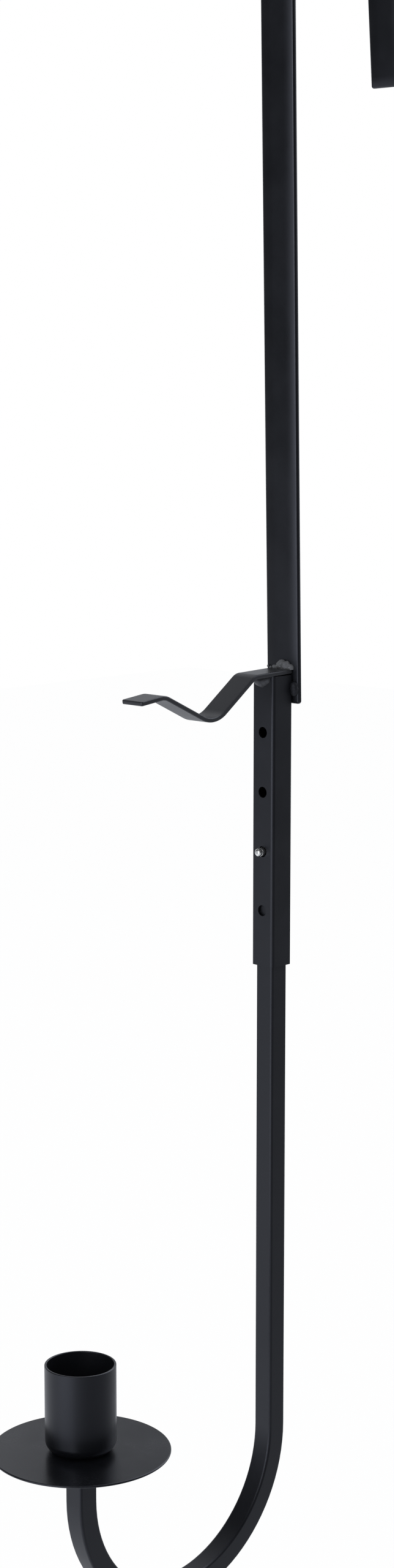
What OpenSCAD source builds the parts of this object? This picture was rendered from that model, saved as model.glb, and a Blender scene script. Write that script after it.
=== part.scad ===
// Over-the-door wreath hanger with a height-adjustable candle arm.
// Millimetres, +Z up. The origin is the middle of the strap's seat on the door's top edge.
// The door lies behind the long front leg of the strap, and the wreath and candle are in front, at -Y.

/* [Strap over the door] */
// Width of the flat bar
strap_w = 15.2; // [13:0.1:20]
// Thickness of the flat bar
strap_t = 2; // [1.6:0.1:3]
// Clear gap between the two legs, at the door's top edge
door_gap = 54; // [46:1:66]
// Length of the front leg below the seat
strap_drop = 270.5; // [220:5:340]
// Length of the rear leg below the seat
rear_drop = 51; // [35:1:70]
// Lean of the front leg towards the door
front_lean = 1.2; // [0.5:0.1:1.5]
// Flare of the rear leg away from the door
rear_flare = 4.6; // [2:0.2:6]
// Bend radius inside the strap's two corners
strap_bend_r = 3; // [2:0.5:6]

/* [Height sleeve] */
// Outside width of the square sleeve
sleeve_side = 10.3; // [9.8:0.1:12]
// Wall of the sleeve
sleeve_wall = 0.7; // [0.5:0.05:0.8]
// Outside corner radius of the sleeve
sleeve_corner = 1.2; // [0.9:0.1:1.6]
// Length of the sleeve
sleeve_len = 106; // [100:1:120]
// Sleeve length that lies on the front leg
sleeve_lap = 10.5; // [8:0.5:16]
// Number of height holes
hole_count = 4; // [3:1:5]
// Distance from one height hole to the next
hole_pitch = 21.7; // [16:0.1:23]
// Height of the lowest hole above the sleeve's lower end
hole_first = 20.5; // [14:0.5:24]
// Diameter of the height holes
hole_d = 4; // [3.8:0.1:4.6]
// Hole that the arm is set in, counted from the bottom
hole_in_use = 2; // [1:1:2]

/* [Wreath hook] */
// Width of the hook's strip
hook_w = 10; // [8:0.5:14]
// Thickness of the hook's strip
hook_t = 1.6; // [1.2:0.1:2]
// Middle radius of the bend at the shelf's front
shelf_bend_r = 5; // [3:0.5:8]
// Middle radius of the bend at the valley
hook_bend_r = 11; // [6:0.5:12]
// Middle radius of the bend at the crest
crest_bend_r = 7; // [4:0.5:12]
// Length of the shelf over the sleeve
shelf_run = 19.3; // [18.5:0.1:24]
// Drop of the shelf towards the front
shelf_drop = 0.6; // [0.5:0.1:1.5]
// Length of the slope down into the valley
valley_run = 20.7; // [18:0.5:26]
// Depth of the slope down into the valley
valley_drop = 14.9; // [10:0.1:17]
// Length of the slope up to the crest
crest_run = 24.4; // [20:0.1:30]
// Height of the slope up to the crest
crest_rise = 11.8; // [9:0.1:14]
// Length of the tip
tip_run = 11.6; // [9:0.1:16]
// Drop of the tip towards the front
tip_drop = 1.3; // [0.5:0.1:2]

/* [Candle arm] */
// Outside width of the square arm tube
arm_side = 8; // [7.4:0.1:8.2]
// Wall of the arm tube
arm_wall = 0.8; // [0.6:0.05:0.9]
// Outside corner radius of the arm tube
arm_corner = 1; // [0.9:0.1:1.4]
// Arm length above its button
arm_above_button = 12; // [8:0.5:15]
// Arm length from the sleeve's lower end down to the bend
arm_below_sleeve = 176; // [120:1:220]
// Distance from the sleeve's axis to the candle's axis
candle_reach = 97; // [80:1:120]
// Straight end of the arm above the bend, under the dish
arm_rise = 18.3; // [12:0.1:40]

/* [Snap button] */
// Diameter of the button
button_d = 3; // [2.6:0.1:3.4]
// Height of the button above the sleeve's face
button_proud = 2.9; // [1.6:0.1:3]
// Radius of the button's domed end
button_dome_r = 2.4; // [2:0.1:4]
// Thickness of the spring leaf
leaf_t = 0.5; // [0.3:0.05:0.6]
// Width of the spring leaf
leaf_w = 5; // [4:0.1:5]
// Length of the leaf below the button
leaf_len = 20; // [16:1:26]
// Length of the leaf above the button
leaf_top = 3.5; // [2.5:0.5:5]

/* [Dish and cup] */
// Diameter of the drip dish
dish_d = 63; // [50:1:80]
// Thickness of the drip dish
dish_t = 0.8; // [0.6:0.1:1.5]
// Inside diameter of the candle cup
cup_bore = 23.4; // [22:0.1:26]
// Wall of the candle cup
cup_wall = 0.8; // [0.6:0.1:1.2]
// Height of the candle cup
cup_h = 31; // [24:1:45]
// Outside radius of the cup's bottom edge
cup_edge_r = 4; // [2:0.5:5]

/* [Fastening] */
// Thread diameter of the cup screw
screw_d = 4; // [3:0.5:4]
// Thread length of the cup screw below its washer
screw_len = 9; // [7:0.5:12]
// Head diameter of the cup screw
screw_head_d = 8; // [7.5:0.5:9]
// Head height of the cup screw
screw_head_h = 2.2; // [1.8:0.1:2.4]
// Diameter of the spring washer
washer_d = 7.4; // [6.6:0.1:8]
// Thickness of the spring washer
washer_t = 0.8; // [0.6:0.1:0.9]
// Length of the threaded plug in the arm's end
plug_len = 10; // [8:0.5:14]

/* [Clearances] */
// Gap left at a welded joint
weld_gap = 0.05; // [0.02:0.01:0.1]
// Gap between a plug or leaf and the tube it lies in
plug_gap = 0.05; // [0.03:0.01:0.1]
// Gap around the screw's thread in the plug
thread_gap = 0.05; // [0.03:0.01:0.1]
// Gap around the screw in the sheet parts
screw_gap = 0.2; // [0.15:0.05:0.4]
// Gap around the button in the arm's wall
button_gap = 0.2; // [0.1:0.05:0.3]
// Gap between stacked sheet parts
stack_gap = 0.02; // [0.01:0.01:0.05]

/* [Hidden] */
$fn = 64;
// Small run past a face, so that a cut goes right through
past = 1;

// Strap, worked out in the Y-Z plane along the middle of its thickness
front_y = -door_gap / 2 - strap_t / 2;
rear_y = door_gap / 2 + strap_t / 2;
strap_path = [
    [front_y + tan(front_lean) * strap_drop, -strap_drop],
    [front_y - tan(front_lean) * strap_t / 2, strap_t / 2],
    [rear_y - tan(rear_flare) * strap_t / 2, strap_t / 2],
    [rear_y + tan(rear_flare) * rear_drop, -rear_drop]
];
strap_bends = [strap_bend_r + strap_t / 2, strap_bend_r + strap_t / 2];
// Y of the front leg's front face at height z
function strap_front(z) = front_y - tan(front_lean) * z - strap_t / 2 / cos(front_lean);

// Sleeve, touching the front leg at its own upper end
sleeve_top = -strap_drop + sleeve_lap;
sleeve_bottom = sleeve_top - sleeve_len;
sleeve_y = strap_front(sleeve_top) - weld_gap - sleeve_side / 2;
sleeve_bore = sleeve_side - 2 * sleeve_wall;
sleeve_front = sleeve_y - sleeve_side / 2;
function hole_z(i) = sleeve_bottom + hole_first + i * hole_pitch;
button_z = hole_z(hole_in_use - 1);

// Hook, lying on the front edge of the sleeve's upper end
shelf_angle = atan(shelf_drop / shelf_run);
hook_root_z = sleeve_top + weld_gap + hook_t / 2 / cos(shelf_angle)
    + tan(shelf_angle) * (strap_front(sleeve_top) - sleeve_front);
hook_root_y = strap_front(hook_root_z) - weld_gap;
hook_path = [
    [hook_root_y, hook_root_z],
    [hook_root_y - shelf_run, hook_root_z - shelf_drop],
    [hook_root_y - shelf_run - valley_run, hook_root_z - shelf_drop - valley_drop],
    [hook_root_y - shelf_run - valley_run - crest_run,
        hook_root_z - shelf_drop - valley_drop + crest_rise],
    [hook_root_y - shelf_run - valley_run - crest_run - tip_run,
        hook_root_z - shelf_drop - valley_drop + crest_rise - tip_drop]
];
hook_bends = [shelf_bend_r, hook_bend_r, crest_bend_r];

// Arm
arm_bore = arm_side - 2 * arm_wall;
arm_bore_corner = arm_corner - arm_wall;
arm_top = button_z + arm_above_button;
bend_z = sleeve_bottom - arm_below_sleeve;
candle_y = sleeve_y - candle_reach;
arm_end = bend_z + arm_rise;

// Button
button_tip = sleeve_front - button_proud;
leaf_front = sleeve_y - arm_bore / 2 + plug_gap + leaf_t / 2;
leaf_rear = sleeve_y + arm_bore / 2 - plug_gap - leaf_t / 2;
leaf_bend_r = 0.8;
leaf_bends = [leaf_bend_r, leaf_bend_r];
leaf_path = [
    [leaf_rear, button_z + leaf_top],
    [leaf_rear, button_z - leaf_len],
    [leaf_front, button_z - leaf_top],
    [leaf_front, button_z + leaf_top]
];

// Dish, cup and screw, stacked on the arm's end
dish_z = arm_end + stack_gap;
cup_z = dish_z + dish_t + stack_gap;
cup_d = cup_bore + 2 * cup_wall;
floor_z = cup_z + cup_wall;
washer_z = floor_z + stack_gap;
head_z = washer_z + washer_t + stack_gap;
recess_w = 1.1;
recess_depth = 1.2;

// Weld beads. How far the middles of the lumps lie in front of the strap
bead_rise = 0.3;
// Place to the side, height above the shelf, and radius
top_lumps = [[-3.6, 0.2, 0.9], [-1.9, 0.3, 1.1], [0.3, 0.8, 1.7], [2.3, 1.1, 2], [4.1, 0.7, 1.8]];
// Place to the side, drop below the sleeve's upper end, and radius
front_lumps = [[-3, 1.6, 1.9], [-0.9, 1.9, 2.5], [1.6, 1.3, 2]];
// How deep the middles of these lumps lie in the sleeve's front
front_sink = 0.7;
// Radii from the top down, then the lumps' distance outside the sleeve, from each other and to the sleeve's top
side_lumps = [1.5, 1.7, 1.5];
side_out = 0.8;
side_step = 1.2;
side_bead_drop = 3.8;

// Unit direction of the run from corner i to corner i + 1, and the direction to its left
function along(pts, i) = (pts[i + 1] - pts[i]) / norm(pts[i + 1] - pts[i]);
function left_of(v) = [-v.y, v.x];
// Turn at corner i, positive to the left
function turn(pts, i) = let (u = along(pts, i - 1), v = along(pts, i))
    atan2(u.x * v.y - u.y * v.x, u * v);
// Middle of the bend at corner i, where r has one radius for each inner corner
function bend_middle(pts, i, r) = let (u = along(pts, i - 1), bend = turn(pts, i))
    pts[i] - r[i - 1] * tan(abs(bend) / 2) * u + sign(bend) * r[i - 1] * left_of(u);
// Point at distance d from the path, square across the corner i's two runs
function mitre(pts, i, d) = let (n = left_of(along(pts, i - 1)) + left_of(along(pts, i)))
    pts[i] + n * d * 2 / (n * n);
// Points of a strip's side, at distance d to the left of the path, or to its right when d is negative.
// Inside a bend the side goes in to the bend's middle, where strip_profile cuts the arc.
function strip_side(pts, d, r) = let (last = len(pts) - 1) [
    pts[0] + d * left_of(along(pts, 0)),
    for (i = [1 : last - 1]) let (inside = turn(pts, i) * d > 0, middle = bend_middle(pts, i, r))
        for (p = inside ? [
            middle - (sign(d) * r[i - 1] - d) * left_of(along(pts, i - 1)),
            middle,
            middle - (sign(d) * r[i - 1] - d) * left_of(along(pts, i))
        ] : [mitre(pts, i, d)]) p,
    pts[last] + d * left_of(along(pts, last - 1))
];
function backwards(list) = [for (i = [len(list) - 1 : -1 : 0]) list[i]];

// Side view of a strip of thickness t along the path pts, bent with the middle radii r at its inner corners.
// It is one polygon with its arcs cut from it, so that no two shapes only touch.
module strip_profile(pts, t, r) {
    difference() {
        polygon(concat(strip_side(pts, t / 2, r), backwards(strip_side(pts, -t / 2, r))));
        for (i = [1 : len(pts) - 2]) {
            middle = bend_middle(pts, i, r);
            outward = -sign(turn(pts, i));
            out_a = outward * left_of(along(pts, i - 1));
            out_b = outward * left_of(along(pts, i));
            reach = r[i - 1] + t / 2 + past;
            translate(middle) circle(r[i - 1] - t / 2);
            difference() {
                polygon([
                    middle,
                    middle + reach * out_a,
                    middle + reach * (out_a + out_b) * 2 / ((out_a + out_b) * (out_a + out_b)),
                    middle + reach * out_b
                ]);
                translate(middle) circle(r[i - 1] + t / 2);
            }
        }
    }
}

// Strip of width w, drawn in the Y-Z plane and centred on X
module bent_strip(pts, w, t, r) {
    rotate([90, 0, 90]) linear_extrude(w, center = true) strip_profile(pts, t, r);
}

module rounded_square(side, r) {
    square([side - 2 * r, side], center = true);
    square([side, side - 2 * r], center = true);
    for (x = [-1, 1], y = [-1, 1]) translate([x, y] * (side / 2 - r)) circle(r);
}

// Solid bar along the arm's whole path, longer at each end by more
module arm_bar(side, r, more) {
    translate([0, sleeve_y, bend_z]) linear_extrude(arm_top - bend_z + more) rounded_square(side, r);
    translate([0, candle_y, bend_z]) linear_extrude(arm_rise + more) rounded_square(side, r);
    translate([0, sleeve_y - candle_reach / 2, bend_z]) mirror([0, 0, 1]) rotate([90, 0, 90])
        rotate_extrude(angle = 180) translate([candle_reach / 2, 0]) rounded_square(side, r);
}

module sleeve_bar() {
    translate([0, sleeve_y, sleeve_bottom])
        linear_extrude(sleeve_len) rounded_square(sleeve_side, sleeve_corner);
}

module door_strap() {
    color("#1f2126") bent_strip(strap_path, strap_w, strap_t, strap_bends);
}

module wreath_hook() {
    color("#26282d") bent_strip(hook_path, hook_w, hook_t, hook_bends);
}

module height_sleeve() {
    color("#212328") difference() {
        sleeve_bar();
        translate([0, sleeve_y, sleeve_bottom - past])
            linear_extrude(sleeve_len + 2 * past) rounded_square(sleeve_bore, sleeve_corner - sleeve_wall);
        for (i = [0 : hole_count - 1])
            translate([0, sleeve_front, hole_z(i)]) rotate([90, 0, 0])
                cylinder(d = hole_d, h = 2 * sleeve_wall + past, center = true);
    }
}

// Row of lumps [x, y, z, radius], cut back to the front leg, shelf and sleeve that it joins
module weld_bead(lumps) {
    color("#2b2d33") difference() {
        union() for (l = lumps) translate([l.x, l.y, l.z]) sphere(l[3]);
        bent_strip([strap_path[0], strap_path[1]], strap_w + past, strap_t, []);
        bent_strip([hook_path[0], hook_path[1]], hook_w + past, hook_t, []);
        sleeve_bar();
    }
}

module hook_top_weld() {
    weld_bead([for (l = top_lumps) let (z = hook_root_z + hook_t / 2 + l[1])
        [l[0], strap_front(z) - bead_rise, z, l[2]]]);
}

module hook_front_weld() {
    weld_bead([for (l = front_lumps) [l[0], sleeve_front + front_sink, sleeve_top - l[1], l[2]]]);
}

module side_weld(side) {
    weld_bead([for (i = [0 : len(side_lumps) - 1]) let (z = sleeve_top - side_bead_drop - i * side_step)
        [side * (sleeve_side / 2 + side_out), strap_front(z) - bead_rise, z, side_lumps[i]]]);
}

module sleeve_weld_right() {
    side_weld(1);
}

module sleeve_weld_left() {
    side_weld(-1);
}

module candle_arm() {
    color("#212328") difference() {
        arm_bar(arm_side, arm_corner, 0);
        arm_bar(arm_bore, arm_bore_corner, past);
        translate([0, sleeve_y - arm_side / 2, button_z]) rotate([90, 0, 0])
            cylinder(d = button_d + 2 * button_gap, h = 2 * arm_wall + past, center = true);
    }
}

// One piece of spring steel: a leaf folded in a V, with the button drawn from its front leg
module snap_button() {
    color("#c9ccd0") {
        bent_strip(leaf_path, leaf_w, leaf_t, leaf_bends);
        intersection() {
            translate([0, leaf_front, button_z]) rotate([90, 0, 0])
                cylinder(d = button_d, h = leaf_front - button_tip);
            translate([0, button_tip + button_dome_r, button_z]) rotate([90, 0, 0]) union() {
                sphere(button_dome_r);
                translate([0, 0, button_dome_r - (leaf_front - button_tip)])
                    cylinder(d = 2 * button_dome_r, h = leaf_front - button_tip - button_dome_r);
            }
        }
    }
}

module arm_plug() {
    color("#8d9096") difference() {
        translate([0, candle_y, arm_end - plug_len])
            linear_extrude(plug_len) rounded_square(arm_bore - 2 * plug_gap, arm_bore_corner);
        translate([0, candle_y, arm_end - plug_len - past])
            cylinder(d = screw_d + 2 * thread_gap, h = plug_len + 2 * past);
    }
}

module drip_dish() {
    color("#33363b") difference() {
        translate([0, candle_y, dish_z]) cylinder(d = dish_d, h = dish_t);
        translate([0, candle_y, dish_z - past]) cylinder(d = screw_d + 2 * screw_gap, h = dish_t + 2 * past);
    }
}

// Half section of the cup: outer or inner outline, with a rounded bottom edge
module cup_outline(r, z, h, edge) {
    translate([0, z + edge]) square([r, h - edge]);
    translate([0, z]) square([r - edge, edge]);
    intersection() {
        translate([r - edge, z + edge]) circle(edge);
        translate([0, z]) square([r, edge]);
    }
}

module candle_cup() {
    color("#2a2c31") translate([0, candle_y, 0]) rotate_extrude() difference() {
        cup_outline(cup_d / 2, cup_z, cup_h, cup_edge_r);
        cup_outline(cup_bore / 2, floor_z, cup_h, cup_edge_r - cup_wall);
        translate([0, cup_z - past]) square([screw_d / 2 + screw_gap, cup_wall + 2 * past]);
    }
}

module spring_washer() {
    split = 0.6;
    color("#a9acb0") translate([0, candle_y, washer_z]) difference() {
        cylinder(d = washer_d, h = washer_t);
        translate([0, 0, -past]) cylinder(d = screw_d + 2 * screw_gap, h = washer_t + 2 * past);
        translate([0, -split / 2, -past]) cube([washer_d, split, washer_t + 2 * past]);
    }
}

module cup_screw() {
    color("#b4b7bb") translate([0, candle_y, head_z]) difference() {
        union() {
            cylinder(d = screw_head_d, h = screw_head_h);
            translate([0, 0, -screw_len]) cylinder(d = screw_d, h = screw_len);
        }
        for (a = [0, 90]) rotate(a)
            translate([-screw_head_d / 4, -recess_w / 2, screw_head_h - recess_depth])
                cube([screw_head_d / 2, recess_w, recess_depth + past]);
    }
}

door_strap();
wreath_hook();
height_sleeve();
hook_top_weld();
hook_front_weld();
sleeve_weld_right();
sleeve_weld_left();
candle_arm();
snap_button();
arm_plug();
drip_dish();
candle_cup();
spring_washer();
cup_screw();
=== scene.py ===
import math

import bmesh
import bpy
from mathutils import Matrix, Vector


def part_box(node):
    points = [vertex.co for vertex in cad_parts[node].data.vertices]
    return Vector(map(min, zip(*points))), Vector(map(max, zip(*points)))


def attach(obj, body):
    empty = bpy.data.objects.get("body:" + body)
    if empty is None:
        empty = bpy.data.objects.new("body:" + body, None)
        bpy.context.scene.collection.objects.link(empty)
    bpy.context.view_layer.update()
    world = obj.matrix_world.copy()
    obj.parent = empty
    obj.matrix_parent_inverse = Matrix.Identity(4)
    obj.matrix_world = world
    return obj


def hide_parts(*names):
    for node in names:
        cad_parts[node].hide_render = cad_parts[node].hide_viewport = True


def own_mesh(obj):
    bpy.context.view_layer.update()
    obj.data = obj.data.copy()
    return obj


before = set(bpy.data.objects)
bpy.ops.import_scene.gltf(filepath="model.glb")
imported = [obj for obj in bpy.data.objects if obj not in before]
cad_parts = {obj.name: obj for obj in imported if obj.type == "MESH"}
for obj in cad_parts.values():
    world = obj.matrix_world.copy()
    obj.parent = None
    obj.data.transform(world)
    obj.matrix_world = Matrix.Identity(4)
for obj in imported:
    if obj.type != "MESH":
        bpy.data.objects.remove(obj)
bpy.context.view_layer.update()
mm = 0.001
print("frame loaded")

shaping = {
    "merge": 1e-6,  # points closer than this are one
    "plane": 1e-7,  # points closer than this to a plane lie on it
    "slack": 1e-5,  # what a search by place allows
    "facing": 0.999,  # how squarely a face has to look the way it is picked by
    "sharp": math.radians(50),  # the facets of bends and holes meet at far less than this
    "leastBendSteps": 4,
    "endCornerSteps": 5,
}
upwards = Vector((0, 0, 1))
frontwards = Vector((0, -1, 0))
lying = (math.pi / 2, 0, 0)  # turn of a cylinder that lies front to back


def deselect():
    if bpy.context.object and bpy.context.object.mode != "OBJECT":
        bpy.ops.object.mode_set(mode="OBJECT")
    bpy.ops.object.select_all(action="DESELECT")


def fixPlace():
    # the primitive's place, turn and size go into its mesh
    bpy.ops.object.transform_apply(location=True, rotation=True, scale=True)


def openPiece(name):
    # the primitive just added gets its name and place, and opens for editing with all of it selected
    piece = bpy.context.object
    piece.name = piece.data.name = name
    fixPlace()
    bpy.ops.object.mode_set(mode="EDIT")
    bpy.ops.mesh.select_all(action="SELECT")
    return piece


def pick(piece, kind, test):
    # edges and faces are picked by their place or normal, never by their number
    bpy.ops.mesh.select_mode(type={"edges": "EDGE", "faces": "FACE"}[kind])
    bpy.ops.mesh.select_all(action="DESELECT")
    mesh = bmesh.from_edit_mesh(piece.data)
    for item in getattr(mesh, kind):
        if test(item):
            item.select_set(True)
    mesh.select_flush_mode()
    bmesh.update_edit_mesh(piece.data)


def pickFacing(piece, direction):
    pick(piece, "faces", lambda f: f.normal.dot(direction) > shaping["facing"])


def push(by):
    # the selected faces are extruded by this much
    bpy.ops.mesh.extrude_region_move(TRANSFORM_OT_translate={"value": by})


def modify(piece, kind, **settings):
    deselect()
    bpy.context.view_layer.objects.active = piece
    piece.select_set(True)
    made = piece.modifiers.new(kind.lower(), kind)
    for key, value in settings.items():
        setattr(made, key, value)
    bpy.ops.object.modifier_apply(modifier=made.name)


def cutAway(piece, cutter):
    modify(piece, "BOOLEAN", operation="DIFFERENCE", object=cutter, solver="EXACT")
    bpy.data.objects.remove(cutter)


def drill(piece, place, radius, depth, facets, turn=(0, 0, 0)):
    # a round hole, centred on the place
    deselect()
    bpy.ops.mesh.primitive_cylinder_add(vertices=facets, radius=radius, depth=depth, location=place,
                                        rotation=turn)
    bit = bpy.context.object
    fixPlace()
    cutAway(piece, bit)


def roundEdges(piece, radius, steps):
    modify(piece, "BEVEL", width=radius, segments=steps, limit_method="ANGLE", angle_limit=shaping["sharp"])


def makeOutward(piece):
    deselect()
    bpy.context.view_layer.objects.active = piece
    bpy.ops.object.mode_set(mode="EDIT")
    bpy.ops.mesh.select_all(action="SELECT")
    bpy.ops.mesh.remove_doubles(threshold=shaping["merge"])
    bpy.ops.mesh.normals_make_consistent(inside=False)
    bpy.ops.object.mode_set(mode="OBJECT")


def closePiece(piece, body, finish, node, smoothAngle=32, weighted=True):
    deselect()
    bpy.context.view_layer.objects.active = piece
    piece.select_set(True)
    bpy.ops.object.shade_smooth_by_angle(angle=math.radians(smoothAngle))
    if weighted:  # the large flat faces then shade flat up to their rounded edges
        modify(piece, "WEIGHTED_NORMAL", keep_sharp=True, weight=100)
    piece.data.materials.clear()
    piece.data.materials.append(finish)
    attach(piece, body)
    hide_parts(node)


def turnBetween(run, following):
    # positive from +Y towards +Z
    return math.atan2(run.y * following.z - run.z * following.y, run.dot(following))


def leftOf(run):
    return Vector((0, -run.z, run.y))


def sweep(path, bendRadii, stepAngle):
    # the selected face is pushed along the path and spun round each of its inner corners
    at = path[0]
    for corner, nextCorner, radius in zip(path[1:-1], path[2:], bendRadii):
        run = (corner - at).normalized()
        following = (nextCorner - corner).normalized()
        turn = turnBetween(run, following)
        back = radius * math.tan(abs(turn) / 2)
        stop = corner - run * back
        if (stop - at).length > shaping["merge"]:
            push(stop - at)
        centre = stop + leftOf(run) * math.copysign(radius, turn)
        steps = max(shaping["leastBendSteps"], math.ceil(math.degrees(abs(turn)) / stepAngle))
        bpy.ops.mesh.spin(steps=steps, angle=-turn, center=centre, axis=(1, 0, 0))
        at = corner + following * back
    push(path[-1] - at)


def addBlank(path, width, thickness):
    # a small face across the start of the path
    run = (path[1] - path[0]).normalized()
    deselect()
    bpy.ops.mesh.primitive_plane_add(size=1, location=path[0], rotation=(math.atan2(-run.y, run.z), 0, 0))
    bpy.context.object.scale = (width, thickness, 1)


def bentStrip(name, path, sizes):
    # flat bar, bent along the path, with its end corners and then all its edges rounded
    addBlank(path, sizes["width"], sizes["thickness"])
    strip = openPiece(name)
    sweep(path, sizes["bendRadii"], sizes["bendStep"])

    def isEndCorner(edge):
        start, end = (v.co for v in edge.verts)
        middle = (start + end) / 2
        fromEnd = min((middle - place).length for place in (path[0], path[-1]))
        return (abs(start.x - end.x) < shaping["plane"]
                and edge.calc_length() < sizes["thickness"] + shaping["slack"]
                and fromEnd < sizes["width"] / 2 + shaping["slack"])

    pick(strip, "edges", isEndCorner)
    bpy.ops.mesh.bevel(offset=sizes["cornerRadius"], segments=shaping["endCornerSteps"], affect="EDGES")
    bpy.ops.object.mode_set(mode="OBJECT")
    makeOutward(strip)
    roundEdges(strip, sizes["edgeRadius"], sizes["edgeSteps"])
    return strip


class Signal:
    # an output socket, so that sums and products of sockets read as sums
    def __init__(self, finish, socket):
        self.finish, self.socket = finish, socket

    def combine(self, operation, a, b):
        return self.finish.node("ShaderNodeMath", {"operation": operation}, {0: a, 1: b})

    def __add__(self, other):
        return self.combine("ADD", self, other)

    def __sub__(self, other):
        return self.combine("SUBTRACT", self, other)

    def __rsub__(self, other):
        return self.combine("SUBTRACT", other, self)

    def __mul__(self, other):
        return self.combine("MULTIPLY", self, other)

    __radd__, __rmul__ = __add__, __mul__

    def other(self, name):
        return Signal(self.finish, self.socket.node.outputs[name])


class Finish:
    # the shader of a material or of the world
    def __init__(self, owner):
        self.owner = owner
        owner.use_nodes = True
        self.tree = owner.node_tree
        self.tree.nodes.clear()

    def node(self, kind, settings=None, inputs=None, output=0):
        made = self.tree.nodes.new(kind)
        for key, value in (settings or {}).items():
            setattr(made, key, value)
        for key, value in (inputs or {}).items():
            if isinstance(value, Signal):
                self.tree.links.new(value.socket, made.inputs[key])
            else:
                made.inputs[key].default_value = value
        if made.outputs:
            return Signal(self, made.outputs[output])

    def noise(self, size, detail, roughness, stretch=(1, 1, 1)):
        # size is that of one mottle, in metres
        place = self.node("ShaderNodeTexCoord", output="Object")
        turned = self.node("ShaderNodeMapping", inputs={"Vector": place, "Scale": stretch})
        return self.node("ShaderNodeTexNoise", inputs={
            "Vector": turned, "Scale": 1 / size, "Detail": detail, "Roughness": roughness})

    def between(self, mask, low, high):
        # a colour that goes from low to high as the mask does from 0 to 1
        # sockets 6 and 7 are the node's two colours, and output 2 is the mixed one
        return self.node("ShaderNodeMix", {"data_type": "RGBA"},
                         {0: mask, 6: (*low, 1), 7: (*high, 1)}, output=2)

    def spread(self, signal, low, high):
        # 0 at low, 1 at high, with a soft start and end
        return self.node("ShaderNodeMapRange", {"interpolation_type": "SMOOTHSTEP"}, {
            "Value": signal, "From Min": low, "From Max": high})

    def surface(self, **sockets):
        shader = self.node("ShaderNodeBsdfPrincipled", inputs={
            name.replace("_", " "): value for name, value in sockets.items()})
        self.node("ShaderNodeOutputMaterial", inputs={"Surface": shader})
        return self.owner


coat = {
    "dark": (0.0028, 0.0030, 0.0037),
    "light": (0.0046, 0.0049, 0.0059),
    "sheenTint": (0.84, 0.87, 1.0, 1),
    "ior": 1.5,
    # each noise's size, detail and roughness
    "mottle": (22 * mm, 4, 0.6),
    "peel": (0.55 * mm, 2, 0.5),
    "grain": (0.12 * mm, 2, 0.6),
    "scuff": (1.6 * mm, 5, 0.7),
    "scuffStretch": (1, 1, 0.25),
    "mottleRange": (0.3, 0.7),
    "scuffRange": (0.6, 0.78),
    "mottleTone": 0.7,  # share of the mottle in the tone, the rest is grain
    # what the mottle and grain add to the roughness and the scuffs take away, and their sum on average
    "mottleSheen": 0.06,
    "grainSheen": 0.05,
    "scuffSheen": 0.05,
    "meanSheen": 0.04,
    "bump": 0.55,
    "peelDepth": 0.004 * mm,
    "grainDepth": 0.35,  # share of the peel's
}


def powderCoat(name, roughness, peel=1.0, paintedLight=0.0):
    # satin black: a faint orange peel with a finer grain in it, and slow changes of tone and sheen
    finish = Finish(bpy.data.materials.new(name))
    mottle = finish.spread(finish.noise(*coat["mottle"]), *coat["mottleRange"])
    peelWave = finish.noise(*coat["peel"])
    grain = finish.noise(*coat["grain"])
    scuffs = finish.spread(finish.noise(*coat["scuff"], coat["scuffStretch"]), *coat["scuffRange"])
    # paintedLight is painted light: it lifts the whole tone of a coat copy that stands where more light falls
    tone = finish.between(mottle * coat["mottleTone"] + grain * (1 - coat["mottleTone"]),
                          [c + paintedLight for c in coat["dark"]], [c + paintedLight for c in coat["light"]])
    sheen = (mottle * coat["mottleSheen"] + grain * coat["grainSheen"] - scuffs * coat["scuffSheen"]
             + (roughness - coat["meanSheen"]))
    bump = finish.node("ShaderNodeBump", inputs={
        "Strength": coat["bump"] * peel, "Distance": coat["peelDepth"],
        "Height": peelWave + grain * coat["grainDepth"]})
    return finish.surface(Base_Color=tone, Roughness=sheen, Normal=bump, IOR=coat["ior"],
                          Specular_Tint=coat["sheenTint"])


plating = {
    "scratch": (4, 0.65),  # detail and roughness of the noise
    "scratchRange": (0.35, 0.7),
    "scratchTone": 0.6,  # share of the scratches in the tone, the rest is clouds
    "scratchSheen": 0.1,
    "scratchDepth": 0.002 * mm,
    "bump": 0.25,
    "clouds": (1.8 * mm, 3, 0.5),
}


def brightMetal(name, dark, light, roughness, scratchSize, stretch):
    # plated or turned steel with fine scratches, which stretch draws out along one direction
    finish = Finish(bpy.data.materials.new(name))
    scratches = finish.spread(finish.noise(scratchSize, *plating["scratch"], stretch),
                              *plating["scratchRange"])
    clouds = finish.noise(*plating["clouds"])
    tone = finish.between(scratches * plating["scratchTone"] + clouds * (1 - plating["scratchTone"]),
                          dark, light)
    bump = finish.node("ShaderNodeBump", inputs={
        "Strength": plating["bump"], "Distance": plating["scratchDepth"], "Height": scratches})
    return finish.surface(Base_Color=tone, Metallic=1.0, Normal=bump,
                          Roughness=scratches * plating["scratchSheen"] + roughness)


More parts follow.
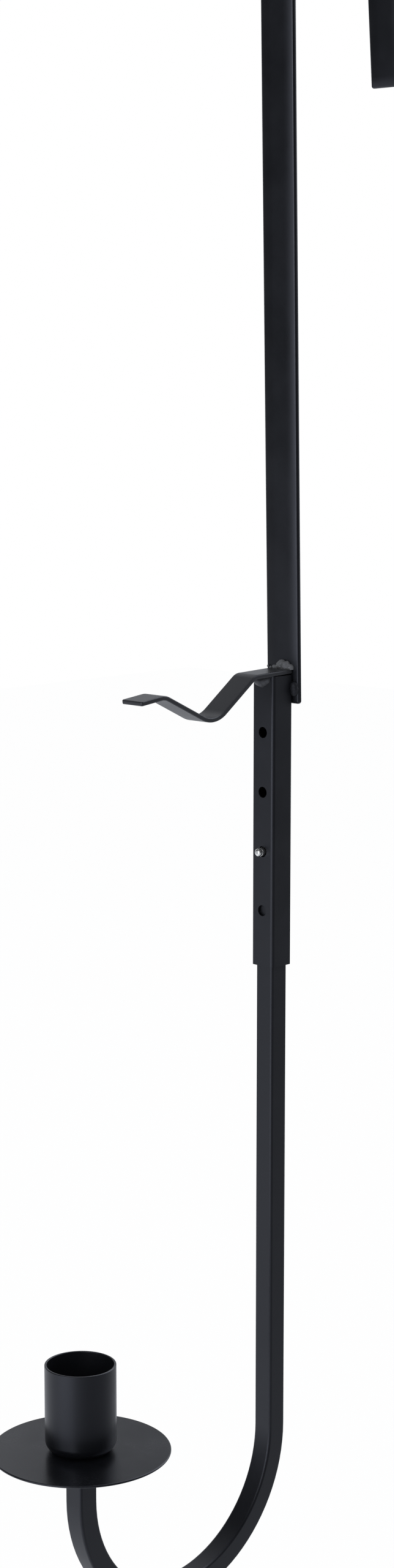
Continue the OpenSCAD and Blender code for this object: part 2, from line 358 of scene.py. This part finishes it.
strapCoat = powderCoat("strap coat", roughness=0.30)
# the hook's coat is a copy with painted light: its tone is lifted for the light that falls on the hook's
# slopes and tip
hookCoatPaintedLight = powderCoat("hook coat painted light", roughness=0.36, paintedLight=0.014)
sleeveCoat = powderCoat("sleeve coat", roughness=0.38)
armCoat = powderCoat("arm coat", roughness=0.38)
dishCoat = powderCoat("dish coat", roughness=0.24, peel=0.5)
cupCoat = powderCoat("cup coat", roughness=0.32, peel=0.6)
# the top and front weld coats are copies with painted light, their tone lifted where light falls on those
# welds; the side welds keep the plain tone
topWeldCoatPaintedLight = powderCoat("top weld coat painted light", roughness=0.40, peel=1.5, paintedLight=0.085)
frontWeldCoatPaintedLight = powderCoat("front weld coat painted light", roughness=0.44, peel=1.5, paintedLight=0.03)
sideWeldCoat = powderCoat("side weld coat", roughness=0.6, peel=1.5)
nickel = brightMetal("nickel plate", dark=(0.80, 0.80, 0.78), light=(0.95, 0.95, 0.93),
                     roughness=0.24, scratchSize=0.35 * mm, stretch=(1, 1, 0.2))
zincPlate = brightMetal("zinc plate", dark=(0.48, 0.50, 0.53), light=(0.66, 0.67, 0.70),
                        roughness=0.30, scratchSize=0.3 * mm, stretch=(1, 1, 1))
turnedSteel = brightMetal("turned steel", dark=(0.34, 0.34, 0.35), light=(0.50, 0.50, 0.51),
                          roughness=0.34, scratchSize=0.25 * mm, stretch=(0.2, 0.2, 3))
print("finishes made")


strap = {
    "width": 15.2 * mm,
    "thickness": 2 * mm,
    "doorGap": 54 * mm,
    "frontDrop": 270.5 * mm,
    "rearDrop": 51 * mm,
    "frontLean": math.radians(1.2),
    "rearFlare": math.radians(4.6),
    "bendRadii": (4 * mm, 4 * mm),
    "bendStep": 7,  # degrees from one facet to the next
    "edgeRadius": 0.65 * mm,
    "edgeSteps": 2,
    "cornerRadius": 0.9 * mm,
    "crownWidth": 5 * mm,
    "cuts": (-8 * mm, -47 * mm, -266 * mm),  # heights of the lines across
}
frontLegY = -strap["doorGap"] / 2 - strap["thickness"] / 2
rearLegY = -frontLegY
halfThickness = strap["thickness"] / 2
strapPath = [Vector(p) for p in (
    (0, frontLegY + math.tan(strap["frontLean"]) * strap["frontDrop"], -strap["frontDrop"]),
    (0, frontLegY - math.tan(strap["frontLean"]) * halfThickness, halfThickness),
    (0, rearLegY - math.tan(strap["rearFlare"]) * halfThickness, halfThickness),
    (0, rearLegY + math.tan(strap["rearFlare"]) * strap["rearDrop"], -strap["rearDrop"]),
)]


def strapFront(z):
    # how far forward the front leg's face is at height z
    return frontLegY - math.tan(strap["frontLean"]) * z - halfThickness / math.cos(strap["frontLean"])


doorStrap = bentStrip("doorStrap", strapPath, strap)
# rolled bar is slightly crowned towards its edges: the smooth shading there starts from a line beside each
# edge, and the lines across keep the bends and ends out of the long flat faces
bpy.ops.object.mode_set(mode="EDIT")
lines = [((side * (strap["width"] / 2 - strap["crownWidth"]), 0, 0), (1, 0, 0)) for side in (-1, 1)]
lines += [((0, 0, z), (0, 0, 1)) for z in strap["cuts"]]
for point, normal in lines:
    bpy.ops.mesh.select_all(action="SELECT")
    bpy.ops.mesh.bisect(plane_co=point, plane_no=normal, threshold=shaping["plane"])
bpy.ops.object.mode_set(mode="OBJECT")
closePiece(doorStrap, "hanger", strapCoat, "door_strap", smoothAngle=60, weighted=False)
print("strap made")


hook = {
    "width": 10 * mm,
    "thickness": 1.6 * mm,
    "bendRadii": (5 * mm, 11 * mm, 7 * mm),
    "bendStep": 4,
    "edgeRadius": 0.42 * mm,
    "edgeSteps": 3,
    "cornerRadius": 0.8 * mm,
    "runs": [(19.3, -0.6), (20.7, -14.9), (24.4, 11.8), (11.6, -1.3)],  # forward and up, in mm
    "weldGap": 0.05 * mm,  # from the strap, and above the sleeve
}
sleeveLow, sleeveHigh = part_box("height_sleeve")
shelfAngle = math.atan2(-hook["runs"][0][1], hook["runs"][0][0])
rootZ = (sleeveHigh.z + hook["weldGap"] + hook["thickness"] / 2 / math.cos(shelfAngle)
         + math.tan(shelfAngle) * (strapFront(sleeveHigh.z) - sleeveLow.y))
hookPath = [Vector((0, strapFront(rootZ) - hook["weldGap"], rootZ))]
for forward, up in hook["runs"]:
    hookPath.append(hookPath[-1] + Vector((0, -forward * mm, up * mm)))
wreathHook = bentStrip("wreathHook", hookPath, hook)
closePiece(wreathHook, "hanger", hookCoatPaintedLight, "wreath_hook")
print("hook made")


tube = {
    "sleeveCorner": 1.2 * mm,
    "sleeveWall": 0.7 * mm,
    "holeRadius": 2 * mm,
    "holePitch": 21.7 * mm,
    "firstHole": 20.5 * mm,
    "holes": 4,
    "buttonHole": 1,  # the one in use, counted up from the lowest, which is 0
    "armSide": 8 * mm,
    "armCorner": 1 * mm,
    "armWall": 0.8 * mm,
    "buttonHoleRadius": 1.7 * mm,
    "reach": 97 * mm,
    "bendBelowSleeve": 175.985 * mm,  # 176 less a hair, as the CAD's bend is made of flat facets
    "rise": 18.3 * mm,
    "cornerSteps": 6,
    "bendStep": 4,
    "rimRadius": 0.16 * mm,
    "rimSteps": 2,
    "drillDepth": 3 * mm,
    "drillFacets": 40,
}
sleeveY = (sleeveLow.y + sleeveHigh.y) / 2
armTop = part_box("candle_arm")[1].z
bendZ = sleeveLow.z - tube["bendBelowSleeve"]


def squareTube(name, path, side, corner, wall, bendRadii):
    addBlank(path, side, side)
    made = openPiece(name)
    bpy.ops.mesh.bevel(offset=corner, segments=tube["cornerSteps"], affect="VERTICES", clamp_overlap=False)
    sweep(path, bendRadii, tube["bendStep"])
    # the two end faces go, and the skin gets its wall
    pick(made, "faces", lambda f: len(f.verts) > 4 and min(
        (f.calc_center_median() - end).length for end in (path[0], path[-1])) < wall)
    bpy.ops.mesh.delete(type="FACE")
    bpy.ops.mesh.select_all(action="SELECT")
    bpy.ops.mesh.normals_make_consistent(inside=False)
    bpy.ops.object.mode_set(mode="OBJECT")
    modify(made, "SOLIDIFY", thickness=wall, offset=-1, use_even_offset=True)
    return made


def drillFront(piece, faceY, z, radius):
    drill(piece, (0, faceY, z), radius, tube["drillDepth"], tube["drillFacets"], lying)


sleevePath = [Vector((0, sleeveY, sleeveLow.z)), Vector((0, sleeveY, sleeveHigh.z))]
sleeve = squareTube("heightSleeve", sleevePath, sleeveHigh.x - sleeveLow.x, tube["sleeveCorner"],
                    tube["sleeveWall"], ())
holeHeights = [sleeveLow.z + tube["firstHole"] + i * tube["holePitch"] for i in range(tube["holes"])]
for z in holeHeights:
    drillFront(sleeve, sleeveLow.y, z, tube["holeRadius"])
roundEdges(sleeve, tube["rimRadius"], tube["rimSteps"])
closePiece(sleeve, "hanger", sleeveCoat, "height_sleeve")

bendRadius = tube["reach"] / 2
armPath = [Vector(p) for p in (
    (0, sleeveY, armTop),
    (0, sleeveY, bendZ - bendRadius),
    (0, sleeveY - tube["reach"], bendZ - bendRadius),
    (0, sleeveY - tube["reach"], bendZ + tube["rise"]),
)]
arm = squareTube("candleArm", armPath, tube["armSide"], tube["armCorner"], tube["armWall"],
                 (bendRadius, bendRadius))
buttonZ = holeHeights[tube["buttonHole"]]
drillFront(arm, sleeveY - tube["armSide"] / 2, buttonZ, tube["buttonHoleRadius"])
roundEdges(arm, tube["rimRadius"], tube["rimSteps"])
closePiece(arm, "arm", armCoat, "candle_arm")
print("sleeve and arm made")


weld = {
    "rise": 0.3 * mm,  # how far in front of the strap the lumps are centred
    "bury": 0.15 * mm,  # how deep the cut face lies under the metal it is welded to
    "cell": 0.15 * mm,
    "ballFacets": (28, 18),  # round the ball, and from pole to pole
    "softness": 0.5,  # of one round of melting
    "rippleDetail": 3,
    # to the side, up from the shelf, and radius, in mm
    "topLumps": [(-6.7, 0.4, 0.5), (-5.5, 0.0, 0.5), (-3.6, 0.2, 0.9), (-1.9, 0.3, 1.1), (0.1, 1.2, 2.0),
                 (2.1, 0.9, 2.0), (4.0, 0.4, 1.5)],
    # to the side, down from the sleeve's upper end, and radius, in mm
    "frontLumps": [(-3.3, 1.5, 1.8), (-2.1, 1.8, 2.2), (-0.8, 1.9, 2.4), (0.6, 1.6, 2.1), (1.9, 1.2, 1.7)],
    "frontSink": 0.7 * mm,
    "sideLumps": [1.5, 1.7, 1.5],  # radius in mm, from the top down
    "sideOut": 0.8 * mm,
    "sideStep": 1.2 * mm,
    "sideDrop": 3.8 * mm,
    # rounds of melting, and the ripple's height and size
    "topSkin": (10, 0.6 * mm, 1.3 * mm),
    "frontSkin": (30, 0.3 * mm, 1.8 * mm),
    "sideSkin": (24, 0.3 * mm, 2.2 * mm),
}


def weldBead(name, node, finish, lumps, cuts, skin):
    # balls that are melted together, rippled, and cut off flat where they meet the metal
    rounds, rippleHeight, rippleSize = skin
    segments, rings = weld["ballFacets"]
    balls = []
    for place, radius in lumps:
        deselect()
        bpy.ops.mesh.primitive_uv_sphere_add(segments=segments, ring_count=rings, radius=radius,
                                             location=place)
        fixPlace()
        balls.append(bpy.context.object)
    for ball in balls:
        ball.select_set(True)
    bpy.ops.object.join()
    bead = bpy.context.object
    bead.name = bead.data.name = name
    modify(bead, "REMESH", mode="VOXEL", voxel_size=weld["cell"])
    modify(bead, "SMOOTH", factor=weld["softness"], iterations=rounds)
    ripple = bpy.data.textures.new(name + "Ripple", "CLOUDS")
    ripple.noise_scale = rippleSize
    ripple.noise_depth = weld["rippleDetail"]
    modify(bead, "DISPLACE", texture=ripple, strength=rippleHeight, mid_level=0.5, texture_coords="GLOBAL")
    bpy.ops.object.mode_set(mode="EDIT")
    for point, normal in cuts:
        bpy.ops.mesh.select_all(action="SELECT")
        bpy.ops.mesh.bisect(plane_co=point, plane_no=normal, use_fill=True, clear_inner=True,
                            threshold=shaping["plane"])
    bpy.ops.mesh.select_all(action="SELECT")
    bpy.ops.mesh.normals_make_consistent(inside=False)
    bpy.ops.object.mode_set(mode="OBJECT")
    closePiece(bead, "hanger", finish, node, smoothAngle=60, weighted=False)


shelfTopZ = rootZ + hook["thickness"] / 2
strapNormal = Vector((0, -math.cos(strap["frontLean"]), -math.sin(strap["frontLean"])))
shelfNormal = Vector((0, -math.sin(shelfAngle), math.cos(shelfAngle)))


def strapCut(z):
    # the plane just under the strap's front face, at height z
    return Vector((0, strapFront(z), z)) - strapNormal * weld["bury"], strapNormal


topLumps = [((x * mm, strapFront(shelfTopZ + up * mm) - weld["rise"], shelfTopZ + up * mm), r * mm)
            for x, up, r in weld["topLumps"]]
shelfCut = (Vector((0, strapFront(shelfTopZ), shelfTopZ - weld["bury"])), shelfNormal)
weldBead("hookTopWeld", "hook_top_weld", topWeldCoatPaintedLight, topLumps, [strapCut(shelfTopZ), shelfCut],
         weld["topSkin"])

frontLumps = [((x * mm, sleeveLow.y + weld["frontSink"], sleeveHigh.z - drop * mm), r * mm)
              for x, drop, r in weld["frontLumps"]]
sleeveCut = (Vector((0, sleeveLow.y + weld["bury"], 0)), frontwards)
hookUndersideZ = (rootZ - math.tan(shelfAngle) * (strapFront(rootZ) - sleeveLow.y)
                  - hook["thickness"] / 2 / math.cos(shelfAngle))
undersideCut = (Vector((0, sleeveLow.y, hookUndersideZ + weld["bury"])), -shelfNormal)
weldBead("hookFrontWeld", "hook_front_weld", frontWeldCoatPaintedLight, frontLumps, [sleeveCut, undersideCut],
         weld["frontSkin"])

for side, name, node in ((1, "sleeveWeldRight", "sleeve_weld_right"),
                         (-1, "sleeveWeldLeft", "sleeve_weld_left")):
    sideLumps = []
    for i, r in enumerate(weld["sideLumps"]):
        z = sleeveHigh.z - weld["sideDrop"] - i * weld["sideStep"]
        sideLumps.append(((side * (sleeveHigh.x + weld["sideOut"]), strapFront(z) - weld["rise"], z), r * mm))
    sideCut = (Vector((side * (sleeveHigh.x - weld["bury"]), 0, 0)), Vector((side, 0, 0)))
    weldBead(name, node, sideWeldCoat, sideLumps, [sideCut, strapCut(sleeveHigh.z)], weld["sideSkin"])
print("welds made")


clip = {
    "radius": 1.5 * mm,
    "facets": 48,
    "endRadius": 1.43 * mm,
    "endLength": 1.7 * mm,
    "proud": 2.9 * mm,
    "edge": 0.85 * mm,
    "edgeSteps": 7,
    "ring": 0.2 * mm,
    "rings": 2,
    "gap": 0.05 * mm,
    "press": 3.6 * mm,
}
leaf = {
    "width": 5 * mm,
    "thickness": 0.5 * mm,
    "length": 20 * mm,
    "top": 3.5 * mm,
    "bendRadii": (0.8 * mm, 0.8 * mm),
    "bendStep": 12,
    "edgeRadius": 0.1 * mm,
    "edgeSteps": 2,
    "cornerRadius": 0.9 * mm,
}
armBore = tube["armSide"] - 2 * tube["armWall"]
leafFrontY = sleeveY - armBore / 2 + clip["gap"] + leaf["thickness"] / 2
leafRearY = sleeveY + armBore / 2 - clip["gap"] - leaf["thickness"] / 2
tipY = sleeveLow.y - clip["proud"]
stemEndY = tipY + clip["endLength"]
deselect()
bpy.ops.mesh.primitive_cylinder_add(vertices=clip["facets"], radius=clip["radius"],
                                    depth=leafFrontY - stemEndY,
                                    location=(0, (leafFrontY + stemEndY) / 2, buttonZ), rotation=lying)
button = openPiece("snapButton")
# a small shoulder, then the polished end with its rounded edge, and rings round its flat middle
pickFacing(button, frontwards)
bpy.ops.mesh.inset(thickness=clip["radius"] - clip["endRadius"])
push((0, tipY - stemEndY, 0))
bpy.ops.mesh.bevel(offset=clip["edge"], segments=clip["edgeSteps"], affect="EDGES")
pick(button, "faces", lambda f: f.normal.dot(frontwards) > shaping["facing"]
     and f.calc_center_median().y < tipY + shaping["slack"])
for i in range(clip["rings"]):
    bpy.ops.mesh.inset(thickness=clip["ring"])
bpy.ops.object.mode_set(mode="OBJECT")
closePiece(button, "button", nickel, "snap_button", smoothAngle=40)

leafPath = [Vector(p) for p in (
    (0, leafRearY, buttonZ + leaf["top"]),
    (0, leafRearY, buttonZ - leaf["length"]),
    (0, leafFrontY, buttonZ - leaf["top"]),
    (0, leafFrontY, buttonZ + leaf["top"]),
)]
buttonLeaf = bentStrip("buttonLeaf", leafPath, leaf)
closePiece(buttonLeaf, "arm", nickel, "snap_button")
leafDepth = leafRearY - leafFrontY + leaf["thickness"]
leafRearY + leaf["thickness"] / 2
(leafDepth - clip["press"]) / leafDepth
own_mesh(buttonLeaf)
print("button made")


candle = {
    "facets": 128,
    "dishRound": 0.3 * mm,
    "dishSteps": 4,
    "dishTrim": 0.02 * mm,  # keeps the rounder dish inside the CAD's facets
    "holeRadius": 2.2 * mm,
    "holeFacets": 48,
    "dishDrill": 6 * mm,
    "cupDrill": 3 * mm,
    "cupWall": 0.8 * mm,
    "cupEdge": 4 * mm,
    "cupEdgeSteps": 12,
    "rimRound": 0.3 * mm,
    "rimSteps": 3,
}
dishLow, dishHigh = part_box("drip_dish")
cupLow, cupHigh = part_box("candle_cup")
candleY = sleeveY - tube["reach"]


def roundBlank(name, radius, lowZ, highZ, facets):
    # a disc or drum on the candle's axis, open for editing
    deselect()
    bpy.ops.mesh.primitive_cylinder_add(vertices=facets, radius=radius, depth=highZ - lowZ,
                                        location=(0, candleY, (highZ + lowZ) / 2))
    return openPiece(name)


def drillDown(piece, z, depth):
    drill(piece, (0, candleY, z), candle["holeRadius"], depth, candle["holeFacets"])


dish = roundBlank("dripDish", dishHigh.x - candle["dishTrim"], dishLow.z, dishHigh.z, candle["facets"])
pick(dish, "faces", lambda f: abs(f.normal.z) > shaping["facing"])
bpy.ops.mesh.bevel(offset=candle["dishRound"], segments=candle["dishSteps"], affect="EDGES")
bpy.ops.object.mode_set(mode="OBJECT")
drillDown(dish, dishLow.z, candle["dishDrill"])
closePiece(dish, "arm", dishCoat, "drip_dish")

cup = roundBlank("candleCup", cupHigh.x, cupLow.z, cupHigh.z, candle["facets"])
pickFacing(cup, -upwards)
bpy.ops.mesh.bevel(offset=candle["cupEdge"], segments=candle["cupEdgeSteps"], affect="EDGES")
pickFacing(cup, upwards)
bpy.ops.mesh.delete(type="FACE")
bpy.ops.object.mode_set(mode="OBJECT")
modify(cup, "SOLIDIFY", thickness=candle["cupWall"], offset=-1, use_even_offset=True)
drillDown(cup, cupLow.z, candle["cupDrill"])
roundEdges(cup, candle["rimRound"], candle["rimSteps"])
closePiece(cup, "arm", cupCoat, "candle_cup")
print("dish and cup made")


screw = {
    "facets": 64,
    "headEdge": 0.9 * mm,
    "headSteps": 6,
    "recessWidth": 1.1 * mm,
    "recessDepth": 1.2 * mm,
    "recessReach": 2.0 * mm,
    "radius": 2 * mm,
    "pitch": 0.7 * mm,
    "threadDepth": 0.3 * mm,
    "length": 9 * mm,
}
screwLow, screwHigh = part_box("cup_screw")
cupScrew = roundBlank("cupScrew", screwHigh.x, screwLow.z + screw["length"], screwHigh.z, screw["facets"])
pickFacing(cupScrew, upwards)
bpy.ops.mesh.bevel(offset=screw["headEdge"], segments=screw["headSteps"], affect="EDGES")
# the shank goes down from the head's underside, with a groove at each turn of the thread
pickFacing(cupScrew, -upwards)
bpy.ops.mesh.inset(thickness=screwHigh.x - screw["radius"])
turns = int(screw["length"] / screw["pitch"])
push((0, 0, -(screw["length"] - turns * screw["pitch"])))
rootShare = (screw["radius"] - screw["threadDepth"]) / screw["radius"]
for i in range(turns):
    for scale in (rootShare, 1 / rootShare):
        push((0, 0, -screw["pitch"] / 2))
        if i < turns - 1 or scale < 1:  # the end stays as narrow as the last groove
            bpy.ops.transform.resize(value=(scale, scale, 1), center_override=(0, candleY, 0))
bpy.ops.object.mode_set(mode="OBJECT")
makeOutward(cupScrew)
for turn in (0, math.pi / 2):
    deselect()
    bpy.ops.mesh.primitive_cube_add(size=1, location=(0, candleY, screwHigh.z), rotation=(0, 0, turn))
    recess = bpy.context.object
    recess.scale = (2 * screw["recessReach"], screw["recessWidth"], 2 * screw["recessDepth"])
    fixPlace()
    cutAway(cupScrew, recess)
closePiece(cupScrew, "arm", zincPlate, "cup_screw")

for node, finish in (("spring_washer", zincPlate), ("arm_plug", turnedSteel)):
    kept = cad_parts[node]
    kept.data.materials.clear()
    kept.data.materials.append(finish)
print("screw made")


studio = {
    "floorZ": -0.74,
    "floorSize": 6.0,
    "floorTone": (0.75, 0.75, 0.75, 1),
    "floorWhite": 0.96,  # share of plain white in the floor as the camera sees it
    "fill": 1.05,
    "tint": (0.91, 0.94, 1.0),
    # what the shiny faces see: a dim room and ground with lighter parts in them, each with its level, the
    # side it lies on, and how squarely one looks to that side where it begins and where it is full
    "room": 0.062,
    "ground": 0.10,
    "wall": {"level": 0.88, "side": (-0.5, 0.866, 0), "edge": (0, 0.9)},
    "table": {"level": 0.8, "side": (-0.9, -0.44, 0), "edge": (-1.25, 0.6)},
    "backGround": {"level": 0.2, "side": (0.6, 0.8, 0), "edge": (0, 0.9)},
    "window": {"level": 2.5, "side": (0, -0.993, -0.12), "edge": (0.87, 0.96)},
    "skylight": {"level": 2.4, "side": (0.1, 0.72, 0.69), "edge": (0.75, 0.97)},
    # heights between which they start or end, from -1 straight down to 1 straight up
    "wallFoot": (-0.19, -0.06),
    "wallTop": (0.16, 0.4),
    "wallLoss": 0.76,  # share of its level that the wall loses above its top
    "tableEnd": (-0.36, 0.0),
    "windowFoot": (-0.30, -0.16),
    "groundEnd": (-0.36, -0.2),
    # place, size and watts of each softbox, and where they all point
    "boxes": {
        "frontBox": ((0.55, -1.45, 0.10), (0.5, 0.6), 3.0),
        "leftBox": ((-1.5, 0.6, 0.5), (1.0, 1.4), 1.5),
        "topBox": ((-0.2, 0.0, 1.4), (1.4, 1.4), 2.0),
    },
    "boxAim": Vector((0, 0, -0.35)),
}

floorFinish = Finish(bpy.data.materials.new("floor"))
seen = floorFinish.node("ShaderNodeLightPath", output="Is Camera Ray")
matt = floorFinish.node("ShaderNodeBsdfDiffuse", inputs={"Color": studio["floorTone"]})
glow = floorFinish.node("ShaderNodeEmission", inputs={"Color": (1, 1, 1, 1), "Strength": 1.0})
share = (seen + seen.other("Is Transmission Ray")) * studio["floorWhite"]
floorFinish.node("ShaderNodeOutputMaterial", inputs={
    "Surface": floorFinish.node("ShaderNodeMixShader", inputs={0: share, 1: matt, 2: glow})})
deselect()
bpy.ops.mesh.primitive_plane_add(size=studio["floorSize"], location=(0, 0, studio["floorZ"]))
floor = bpy.context.object
floor.name = "floor"
fixPlace()
floor.data.materials.append(floorFinish.owner)
floor.visible_glossy = False  # the world gives the shiny faces their pale table

bpy.context.scene.world = bpy.data.worlds.new("studio")
sky = Finish(bpy.context.scene.world)
skySeen = sky.node("ShaderNodeLightPath", output="Is Camera Ray")
skyMirrored = skySeen.other("Is Glossy Ray")
direction = sky.node("ShaderNodeTexCoord", output="Generated")
skyHeight = sky.node("ShaderNodeSeparateXYZ", inputs={"Vector": direction}, output="Z")


def lightFrom(name, *masks):
    # one lighter part of the room, soft towards its edge and held in by the masks
    part = studio[name]
    squarely = sky.node("ShaderNodeVectorMath", {"operation": "DOT_PRODUCT"},
                        {0: direction, 1: part["side"]}, output="Value")
    light = sky.spread(squarely, *part["edge"])
    for mask in masks:
        light = light * mask
    return light * part["level"]


def above(edge):
    # a mask that is 0 below the edge and 1 above it
    return sky.spread(skyHeight, *studio[edge])


room = (lightFrom("wall", above("wallFoot"), 1 - above("wallTop") * studio["wallLoss"])
        + lightFrom("table", 1 - above("tableEnd"))
        + lightFrom("window", above("windowFoot"))
        + lightFrom("skylight")
        + (1 - above("groundEnd")) * (lightFrom("backGround") + studio["ground"])
        + studio["room"])
lit = (1 - skyMirrored) * studio["fill"] + skyMirrored * room
background = sky.node("ShaderNodeBackground", inputs={
    "Color": sky.between(skySeen, studio["tint"], (1, 1, 1)), "Strength": skySeen + (1 - skySeen) * lit})
sky.node("ShaderNodeOutputWorld", inputs={"Surface": background})

for name, (place, size, watts) in studio["boxes"].items():
    deselect()
    bpy.ops.object.light_add(type="AREA", location=place)
    box = bpy.context.object
    box.name = name
    box.data.shape = "RECTANGLE"
    box.data.size, box.data.size_y = size
    box.data.energy = watts
    box.rotation_euler = (studio["boxAim"] - Vector(place)).to_track_quat("-Z", "Y").to_euler()

view = {
    "azimuth": math.radians(44.167),
    "pitch": math.radians(8.989),
    "place": (0.63843, -0.72501, -0.15029),
    "focalPixels": 4326.2,
    "framePixels": 2560,
    "sensorWidth": 36,
    "clip": (0.05, 60),
}
bpy.ops.object.camera_add(location=view["place"])
camera = bpy.context.object
camera.name = "photoCamera"
camera.data.sensor_fit = "AUTO"
camera.data.sensor_width = view["sensorWidth"]
camera.data.lens = view["sensorWidth"] * view["focalPixels"] / view["framePixels"]
camera.data.clip_start, camera.data.clip_end = view["clip"]
lookedAlong = Vector((-math.sin(view["azimuth"]) * math.cos(view["pitch"]),
                      math.cos(view["azimuth"]) * math.cos(view["pitch"]), -math.sin(view["pitch"])))
camera.rotation_euler = lookedAlong.to_track_quat("-Z", "Y").to_euler()
bpy.context.scene.camera = camera
bpy.context.scene.view_settings.view_transform = "Standard"
print("studio made")

deselect()
